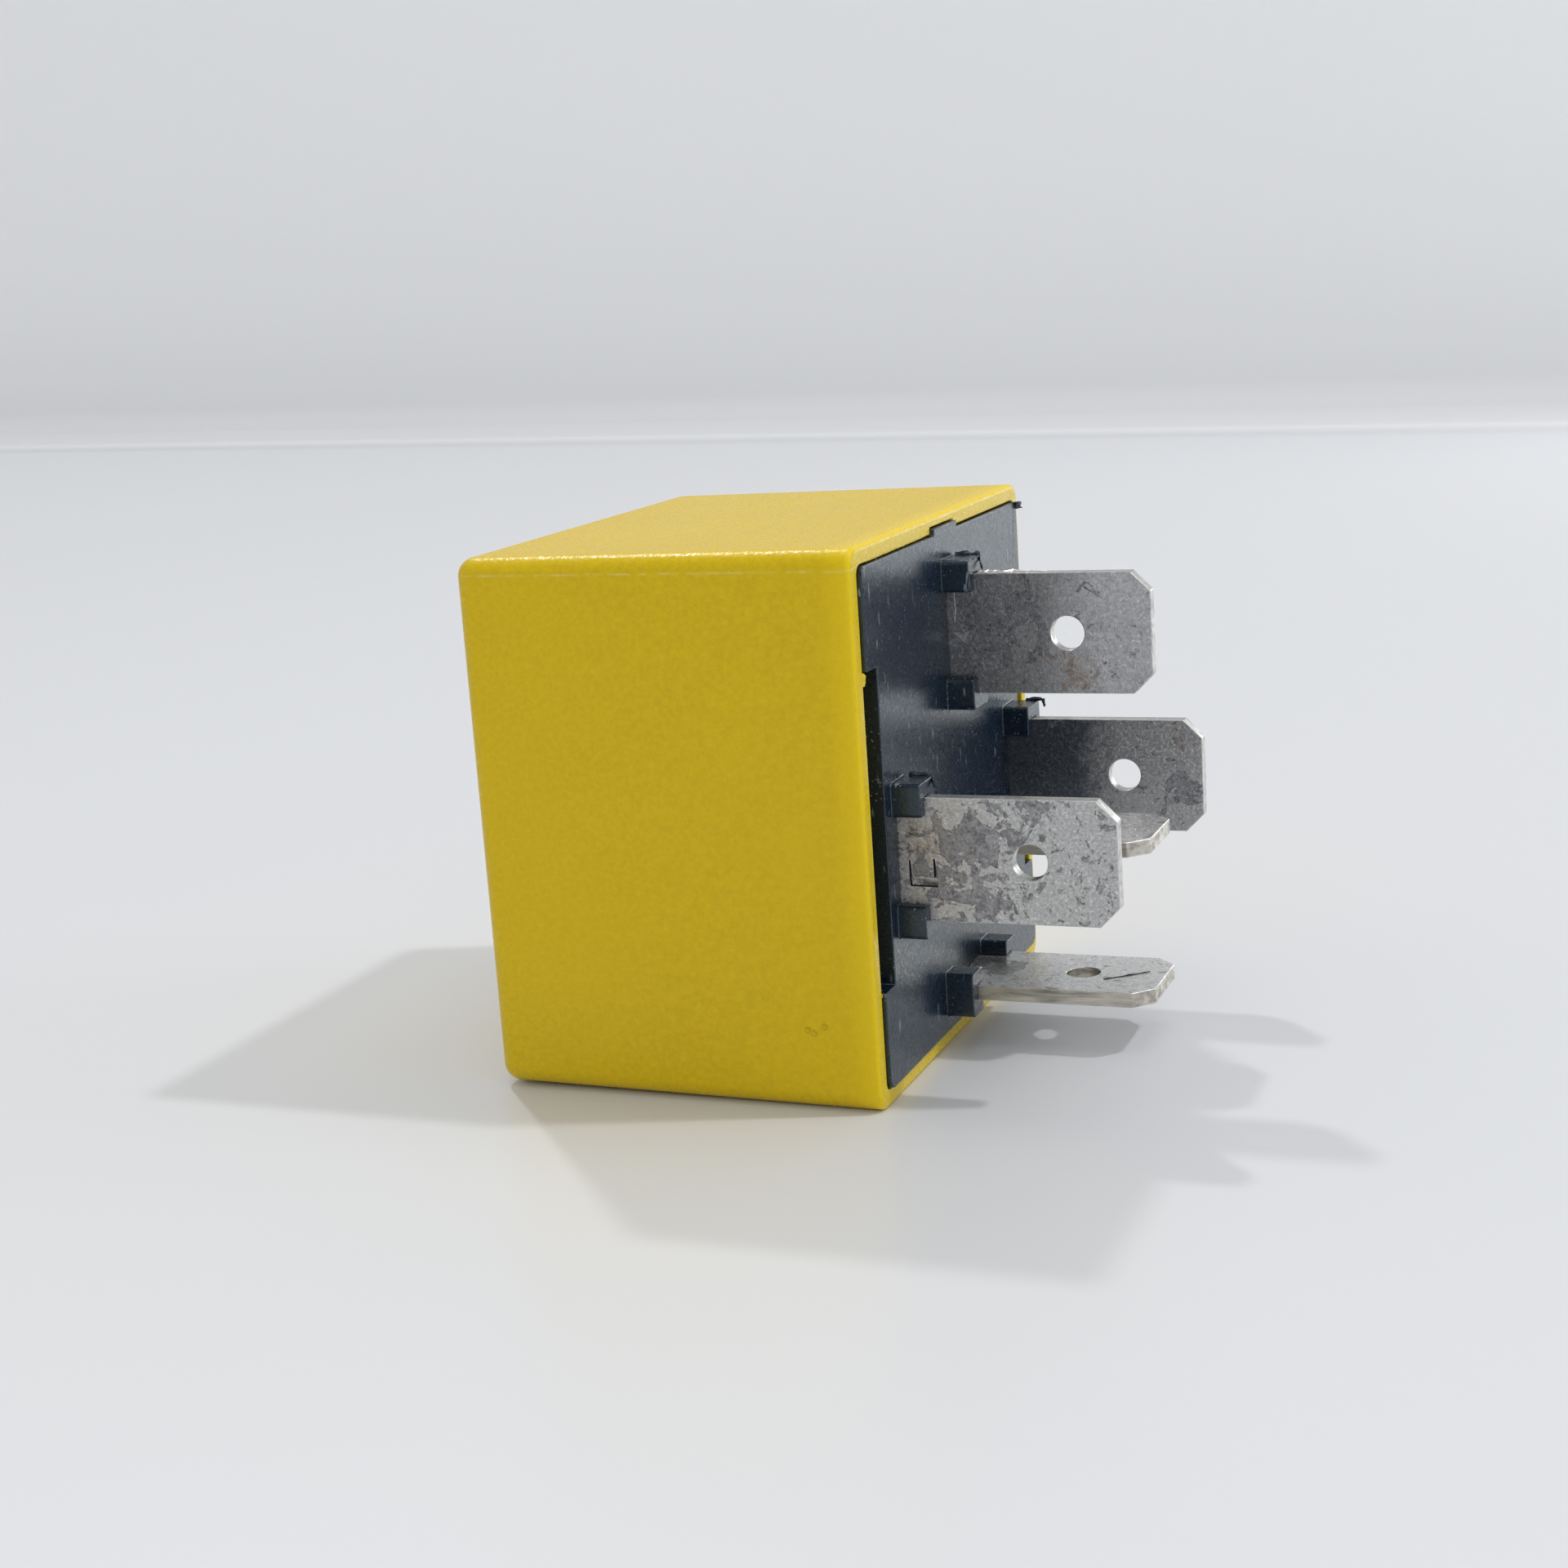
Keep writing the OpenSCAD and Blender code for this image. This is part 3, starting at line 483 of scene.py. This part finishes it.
def gathered(where, within, pattern, soft):
    """A pattern's patches, thick round a place and thin away from it."""
    gap = add(t, "ShaderNodeVectorMath", {0: spot, 1: where}, operation="DISTANCE").outputs["Value"]
    lift = ramp(t, calc(t, "DIVIDE", gap, within), 0.0, 1.7, 0.13, -0.12)
    return ramp(t, calc(t, "ADD", pattern, lift), 0.5, 0.5 + soft)


grit = clouds(t, spot, 6.0, 4.0, 0.72)
folds = clouds(t, spot, given["Blots per mm"], 6.0, 0.62, 0.7)
crumbs = clouds(t, spot, 2.1, 4.0, 0.6, 0.7)
along = add(t, "ShaderNodeSeparateXYZ", {0: spot}).outputs["X"]
along = calc(t, "ADD", along, calc(t, "MULTIPLY", folds, 5.0))
painted_light_along = add(t, "ShaderNodeMapRange", {"Value": along, "From Min": calc(t, "ADD", given["Rubbed from"], 2.5),
                                       "From Max": calc(t, "ADD", given["Rubbed to"], 2.5)}).outputs["Result"]
stained = gathered(given["Stained at"], given["Stained within"], folds, 0.022)
stray = calc(t, "MULTIPLY", ramp(t, crumbs, 0.58, 0.68), given["Stains elsewhere"])
stained = calc(t, "MAXIMUM", stained, stray)
holes = ramp(t, crumbs, 0.4, 0.34)
stained = calc(t, "MULTIPLY", stained, calc(t, "SUBTRACT", 1.0, calc(t, "MULTIPLY", holes, 0.8)))
rim = calc(t, "MULTIPLY", calc(t, "MULTIPLY", stained, calc(t, "SUBTRACT", 1.0, stained)), 2.0)
warmed = gathered(given["Warm at"], given["Warm within"], crumbs, 0.16)
# painted shade and sheen: each blade goes from its Dull colour at the root to its Clean colour towards the
# tip, along a wavy line
colour = mix(t, painted_light_along, given["Dull"], given["Clean"])
colour = mix(t, calc(t, "MULTIPLY", warmed, 0.85), colour, given["Warm"])
colour = mix(t, calc(t, "MULTIPLY", stained, ramp(t, crumbs, 0.4, 0.58, 1.0, 0.45)), colour, given["Stain"])
curls = calc(t, "ABSOLUTE", calc(t, "SUBTRACT", clouds(t, spot, 1.1, 2.0, 0.5, 3.0), 0.5))
curls = calc(t, "MULTIPLY", ramp(t, curls, 0.05, 0.01), ramp(t, grit, 0.42, 0.6, 0.0, 0.6))
tone = calc(t, "ADD", ramp(t, grit, 0.25, 0.75, 0.6, 1.35), calc(t, "MULTIPLY", curls, 0.7))
tone = calc(t, "SUBTRACT", tone, rim)
toned = add(t, "ShaderNodeVectorMath", {0: colour, "Scale": tone}, operation="SCALE").outputs[0]
t.links.new(toned, out["Colour"])
t.links.new(stained, out["Stained"])
t.links.new(calc(t, "ADD", grit, calc(t, "ADD", calc(t, "MULTIPLY", stained, 0.5), curls)), out["Height"])


def tinned(name, metallic, rough, **film_of):
    """One blade's tinned face, with stains of its own, and painted shade at the root giving way to painted
    sheen towards the tip.
    """
    material, tree, shader = surface(name, Metallic=metallic)
    look = {label.replace("_", " "): value for label, value in film_of.items()}
    film = add(tree, "ShaderNodeGroup", look, node_tree=tarnish)
    worn_and_lit_edges = add(tree, "ShaderNodeGroup", {"Reach": 0.0001}, node_tree=edge_wear_and_highlight).outputs["Mask"]
    dress(tree, shader, film.outputs["Height"], 1.1e-5,
          Base_Color=mix(tree, worn_and_lit_edges, film.outputs["Colour"], (0.8, 0.79, 0.77, 1)),
          Roughness=ramp(tree, film.outputs["Stained"], 0.0, 1.0, *rough))
    return material


bright_edge = plain_metal("cut_edge", (0.62, 0.61, 0.59, 1), (0.3, 0.29, 0.27, 1),
                          (2500.0, 2500.0, 2500.0), 6.0, (0.85, 0.85, 0.83, 1))
brass_edge = plain_metal("cut_edge_bare", (0.74, 0.7, 0.62, 1), (0.02, 0.015, 0.01, 1),
                         (500.0, 4000.0, 4000.0), 3.0, (0.92, 0.9, 0.86, 1))
grime_and_painted_shade = surface("grime_and_painted_shade", Base_Color=(0.02, 0.02, 0.022, 1), Roughness=0.8)[0]
# each blade's Dull colour towards the root is painted shade, darkest on 86, and its Clean colour towards the
# tip is painted sheen
finishes = {
    "terminal_30": tinned(
        "dark_tin", 0.75, (0.3, 0.46), Clean=(0.46, 0.465, 0.48, 1), Dull=(0.25, 0.252, 0.262, 1),
        Stain=(0.2, 0.2, 0.215, 1), Warm=(0.3, 0.235, 0.19, 1), Rubbed_from=10.0, Rubbed_to=13.6,
        Stained_at=(8.8, -0.4, 22.6), Stained_within=1.8, Stains_elsewhere=0.15, Warm_at=(12.2, -0.4, 19.6),
        Warm_within=1.2, Blots_per_mm=0.7),
    "terminal_85": tinned(
        "mottled_tin", 0.5, (0.36, 0.5), Clean=(0.53, 0.53, 0.53, 1), Dull=(0.5, 0.49, 0.475, 1),
        Stain=(0.2, 0.2, 0.225, 1), Warm=(0.36, 0.31, 0.26, 1), Rubbed_from=8.0, Rubbed_to=10.5,
        Stained_at=(9.3, -10.0, 12.6), Stained_within=2.6, Stains_elsewhere=0.7, Warm_at=(6.6, -10.0, 12.6),
        Warm_within=2.2, Blots_per_mm=0.85),
    "terminal_86": tinned(
        "grey_tin", 0.7, (0.32, 0.46), Clean=(0.45, 0.45, 0.46, 1), Dull=(0.11, 0.125, 0.145, 1),
        Stain=(0.25, 0.25, 0.275, 1), Warm=(0.34, 0.3, 0.27, 1), Rubbed_from=8.8, Rubbed_to=11.5,
        Stained_at=(14.9, 9.2, 11.6), Stained_within=1.2, Stains_elsewhere=0.3, Warm_at=(15.2, 9.2, 14.2),
        Warm_within=0.9, Blots_per_mm=0.6),
    "terminal_87": tinned(
        "bright_tin", 0.85, (0.22, 0.4), Clean=(0.9, 0.89, 0.87, 1), Dull=(0.8, 0.78, 0.74, 1),
        Stain=(0.5, 0.48, 0.44, 1), Warm=(0.62, 0.56, 0.46, 1), Rubbed_from=6.0, Rubbed_to=9.0,
        Stained_at=(7.0, 0.0, 3.4), Stained_within=1.0, Stains_elsewhere=0.3, Warm_at=(8.4, -1.5, 3.4),
        Warm_within=1.1, Blots_per_mm=0.6),
    "terminal_87a": tinned(
        "bright_tin_87a", 0.85, (0.22, 0.4), Clean=(0.78, 0.77, 0.75, 1), Dull=(0.6, 0.58, 0.54, 1),
        Stain=(0.46, 0.45, 0.43, 1), Warm=(0.6, 0.55, 0.47, 1), Rubbed_from=7.0, Rubbed_to=11.0,
        Stained_at=(9.0, 1.0, 11.4), Stained_within=1.2, Stains_elsewhere=0.5, Warm_at=(13.0, 1.0, 11.4),
        Warm_within=1.0, Blots_per_mm=0.6),
}


def slit(*outline, outside=-10.2, bottom=-9.7):
    """The corners of a cut into blade 85's near face, from its outline's x and z."""
    return mm(*[(x, y, z) for y in (outside, bottom) for x, z in outline])


# the slit round a lanced tongue on 85, and a punch's dimple and a nick on 30
marks = {
    "terminal_85": [
        slit((5.74, 10.9), (5.92, 10.9), (5.74, 12.0), (5.82, 12.0)),
        slit((7.02, 10.9), (7.24, 10.9), (7.0, 12.1), (7.1, 12.1)),
        slit((5.76, 10.66), (7.2, 10.64), (5.76, 11.08), (7.22, 11.1))],
    "terminal_30": [
        mm((5.5, -0.42, 21.75), (6.45, -0.42, 21.82), (6.1, -0.42, 21.2), (5.95, -0.1, 21.76)),
        mm((12.4, -0.45, 22.36), (13.3, -0.45, 22.42), (12.4, -0.45, 22.3), (12.85, -0.37, 22.36))],
}
for node, finish in finishes.items():
    wear(node, finish)
    flat = node in ("terminal_87", "terminal_87a")
    across = 2 if flat else 1
    blade = remade(node, node.replace("terminal", "blade"), rounding=0.00005, cut_axis=across,
                   cutters=marks.get(node, ()))
    blade.data.materials.append(finish)
    blade.data.materials.append(brass_edge if flat else bright_edge)
    # faces inside the cuts: on 85 the slit's walls are near black, painted shade in the slit; on 30 the
    # dimple and nick are bare metal; on 87 this near-black finish also marks a dark scratch
    blade.data.materials.append(bright_edge if node == "terminal_30" else grime_and_painted_shade)

# each ridge as in the flash, and then the blade it stands on
burrs = [
    ("burr_30_far", mm((6.9, 0.36, 24.84), (8.6, 0.37, 24.84), (10.5, 0.36, 24.84)), (0.0, 0.2, 1.0),
     0.00012, 0.00006, 0.00022, 0.9, 4, "terminal_30"),
    ("burr_30_near", mm((6.9, -0.38, 24.84), (9.0, -0.38, 24.84)), (0.0, -0.6, 1.0),
     0.00006, 0.00004, 0.00016, 0.9, 14, "terminal_30"),
    ("streak_30", mm((5.62, -0.4, 22.3), (5.7, -0.4, 23.0), (5.66, -0.4, 23.9)), (0.0, -1.0, 0.0),
     0.00003, 0.00004, 0.0002, 0.4, 6, "terminal_30"),
    ("shaving_87", mm((5.3, -1.7, 3.44), (5.75, -1.1, 3.52), (6.1, -0.3, 3.48)), (-0.3, 0.0, 1.0),
     0.00022, 0.00008, 0.00024, 0.7, 10, "terminal_87"),
    ("burr_85", mm((8.0, -9.98, 8.9), (10.2, -9.98, 8.9)), (0.0, -0.4, -1.0),
     0.00004, 0.00004, 0.00018, 0.9, 9, "terminal_85"),
    ("burr_87", mm((13.2, -3.12, 3.38), (15.0, -3.12, 3.38), (16.0, -2.2, 3.38)), (0.0, -0.7, 0.7),
     0.00004, 0.00005, 0.00026, 0.7, 12, "terminal_87"),
]
for *ridge, slot in burrs:
    ragged_ridge(*ridge, bright_edge, slot)
ragged_ridge("scratch_87", mm((13.0, -1.05, 3.4), (13.9, -0.4, 3.41), (15.1, 0.65, 3.4)), (0.0, 0.0, 1.0),
             0.00007, 0.00006, 0.00018, 0.6, 17, grime_and_painted_shade, "terminal_87")

# ---------------------------------------------------------------- housing
# One deep cup moulded in yellow polyamide with a fine spark-eroded skin. The base snaps
# into its open end; the rim is thin, its corner edges are scuffed, and a paler yellow along its
# edges is partly scuffing and partly a painted highlight.
low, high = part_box("housing")
near_wall, rim_end, pale_line_height = low.y * 1000, high.x * 1000, high.z * 1000 - 1.0
pits = [(1.68, near_wall, 4.05), (2.25, near_wall, 4.42), (1.35, near_wall, 4.2)]
yellow, tree, shader = surface("yellow_plastic", IOR=1.5, Specular_IOR_Level=0.28)
spot = spot_in_mm(tree)
skin = add(tree, "ShaderNodeGroup", {"Colour": (0.735, 0.51, 0.0, 1), "Shade": 0.93, "Grain per mm": 6.0},
           node_tree=moulded_skin)
# the edge mask, reaching 0.6 mm, pales the cup's outer edges in patches: partly scuffing, partly a painted
# highlight on the rounded edges
worn_and_lit_edges = add(tree, "ShaderNodeGroup", {"Reach": 0.0006, "Patches per mm": 2.5},
          node_tree=edge_wear_and_highlight).outputs["Mask"]
height = skin.outputs["Height"]
for pit in pits:
    gap = add(tree, "ShaderNodeVectorMath", {0: spot, 1: pit}, operation="DISTANCE").outputs["Value"]
    height = calc(tree, "ADD", height, ramp(tree, gap, 0.06, 0.2, -5.0, 0.0))
colour = mix(tree, ramp(tree, clouds(tree, spot, 3.4, 3.0, 0.6), 0.3, 0.7), skin.outputs["Colour"],
             (0.8, 0.565, 0.002, 1))
axes = add(tree, "ShaderNodeSeparateXYZ", {0: spot}).outputs
# painted highlight: the yellow is lighter over the last 1.5 mm before the rim, and the rim's end face is then
# coloured darker
colour = mix(tree, ramp(tree, axes["X"], rim_end - 1.65, rim_end - 0.15), colour, (0.88, 0.63, 0.0, 1))
colour = mix(tree, ramp(tree, axes["X"], rim_end - 0.08, rim_end - 0.02), colour, (0.7, 0.51, 0.005, 1))
# a pale, slightly raised line 1 mm below the top of the cup, broken in places
pale_line = calc(tree, "ABSOLUTE", calc(tree, "SUBTRACT", axes["Z"], pale_line_height))
broken = ramp(tree, clouds(tree, spot, 1.6, 3.0), 0.4, 0.6)
pale_line = calc(tree, "MULTIPLY", ramp(tree, pale_line, 0.09, 0.02), broken)
height = calc(tree, "ADD", height, pale_line)
colour = mix(tree, calc(tree, "MULTIPLY", pale_line, 0.5), colour, (0.9, 0.74, 0.2, 1))
dress(tree, shader, height, 2.1e-5,
      Base_Color=mix(tree, calc(tree, "MULTIPLY", worn_and_lit_edges, 0.4), colour, (0.86, 0.7, 0.14, 1)),
      Roughness=ramp(tree, skin.outputs["Grain"], 0.4, 0.62, 0.24, 0.42))
wear("housing", yellow)


def outer_rim(spot, edge=3e-4, face=3e-5):
    """Whether a place is on the rim's end face, at the outside of its wall."""
    inside = low.y + edge < spot.y < high.y - edge and low.z + edge < spot.z < high.z - edge
    return spot.x > high.x - face and not inside


housing = remade("housing", "housing_cup", rounding=0.00026, weld=1.5e-5, fuller=outer_rim)
housing.data.materials.append(yellow)

rim_burrs = [
    ("burr_slot_top", mm((5.0, -13.16, 21.95), (5.03, -13.02, 21.7), (5.0, -13.12, 21.3)),
     (1.0, 0.5, 0.2), 0.00018, 0.0001, 0.00016, 0.6, 5),
    ("burr_slot_low", mm((5.0, -13.14, 6.0), (5.02, -13.1, 5.8)),
     (1.0, 0.6, 0.0), 0.00012, 0.00008, 0.0001, 0.5, 7),
    ("burr_rim", mm((5.03, -11.8, 27.12), (5.03, -8.0, 27.12), (5.03, -3.0, 27.12)),
     (0.6, 0.0, -1.0), 0.00003, 0.00003, 0.00024, 0.8, 16),
]
for ridge in rim_burrs:
    ragged_ridge(*ridge, yellow, "housing")

# ---------------------------------------------------------------- table, light and camera
# A glossy white table that curves up into a low pale wall. Two suns behind the relay cast
# its crossed shadows, four soft lamps fill them, and the camera is low over the table.
wall_run = Vector((0.976, -0.2185, 0)).normalized()
wall_foot = Vector((-0.1863, 0.4557, 0))
toward = Vector((wall_run.y, -wall_run.x, 0))
cove, cove_steps = 0.006, 10
half_length, wall_height = 2.5, 0.14
profile = [(3.0, 0.0), (1.0, 0.0), (0.3, 0.0)]
for step in range(cove_steps + 1):
    angle = math.radians(90 / cove_steps * step)
    profile.append((cove - cove * math.sin(angle), cove - cove * math.cos(angle)))
profile += [(0.0, 0.05), (0.0, wall_height)]
mesh = bpy.data.meshes.new("table_and_wall")
work = bmesh.new()
rows = []
for along in (-half_length, half_length):
    end = wall_foot + wall_run * along
    rows.append([work.verts.new(end + toward * away + Vector((0, 0, up))) for away, up in profile])
for i in range(len(profile) - 1):
    work.faces.new((rows[0][i], rows[1][i], rows[1][i + 1], rows[0][i + 1])).smooth = True
work.normal_update()
if next(iter(work.faces)).normal.z < 0:
    bmesh.ops.reverse_faces(work, faces=work.faces)
work.to_mesh(mesh)
work.free()
table = bpy.data.objects.new("table_and_wall", mesh)
scene.collection.objects.link(table)
white, tree, shader = surface("white_gloss", Roughness=0.32, Specular_IOR_Level=0.2,
                              Emission_Color=(1, 1, 1, 1))
place = add(tree, "ShaderNodeTexCoord").outputs["Object"]
up = ramp(tree, add(tree, "ShaderNodeSeparateXYZ", {0: place}).outputs["Z"], 0.0, 0.005)
gap = add(tree, "ShaderNodeVectorMath", {0: place, 1: wall_foot}, operation="SUBTRACT").outputs[0]
gap = add(tree, "ShaderNodeVectorMath", {0: gap, 1: toward}, operation="DOT_PRODUCT").outputs["Value"]
# the camera sees a faint glow on the wall and on the strip of table that the wall shades
shaded = calc(tree, "MULTIPLY", ramp(tree, gap, 0.068, 0.046, 0.0, 0.2), calc(tree, "SUBTRACT", 1.0, up))
glow = calc(tree, "ADD", shaded, calc(tree, "MULTIPLY", up, 0.12))
tree.links.new(mix(tree, up, (0.725, 0.735, 0.755, 1), (0.9, 0.91, 0.93, 1)), shader.inputs["Base Color"])
seen = add(tree, "ShaderNodeLightPath").outputs["Is Camera Ray"]
tree.links.new(calc(tree, "MULTIPLY", seen, glow), shader.inputs["Emission Strength"])
mesh.materials.append(white)

world = bpy.data.worlds.new("soft_room")
scene.world = world
world.use_nodes = True
sky = world.node_tree.nodes["Background"].inputs
sky["Color"].default_value = (0.97, 0.985, 1.0, 1)
sky["Strength"].default_value = 0.54


def lamp(name, kind, source, power, size, away=0.8):
    """A lamp that shines on the relay from this direction. A sun's size is its angle in
    degrees, and an area lamp's is the width of its disk in metres."""
    light = bpy.data.lights.new(name, kind)
    light.energy = power
    if kind == "SUN":
        light.angle = math.radians(size)
    else:
        light.shape = "DISK"
        light.size = size
    direction = Vector(source).normalized()
    made = bpy.data.objects.new(name, light)
    made.rotation_euler = direction.to_track_quat("Z", "Y").to_euler()
    made.location = direction * away
    scene.collection.objects.link(made)


lamp("window_right", "SUN", (19.2, 5.5, 28.0), 0.76, 2.6)
lamp("window_back", "SUN", (-15.3, 17.1, 28.0), 0.66, 3.0)
lamp("ceiling", "AREA", (0.1, 0.1, 1.0), 0.72, 0.6)
lamp("front", "AREA", (0.5, -1.0, 0.75), 0.3, 0.5)
lamp("side", "AREA", (0.9, 0.3, 0.35), 0.9, 0.35)
lamp("low_right", "AREA", (0.36, 0.92, 0.17), 0.11, 0.14, 0.37)

heading, dip, roll = (math.radians(angle) for angle in (22.46, 12.51, -3.92))
camera = bpy.data.objects.new("camera", bpy.data.cameras.new("camera"))
camera.data.lens = 55.41
camera.data.sensor_width = 36.0
camera.data.clip_start = 0.005
camera.location = (0.04452, -0.119268, 0.041972)
camera.rotation_euler = (Matrix.Rotation(heading, 4, "Z") @ Matrix.Rotation(math.pi / 2 - dip, 4, "X")
                         @ Matrix.Rotation(roll, 4, "Z")).to_euler()
scene.collection.objects.link(camera)
scene.camera = camera
scene.view_settings.view_transform = "Standard"
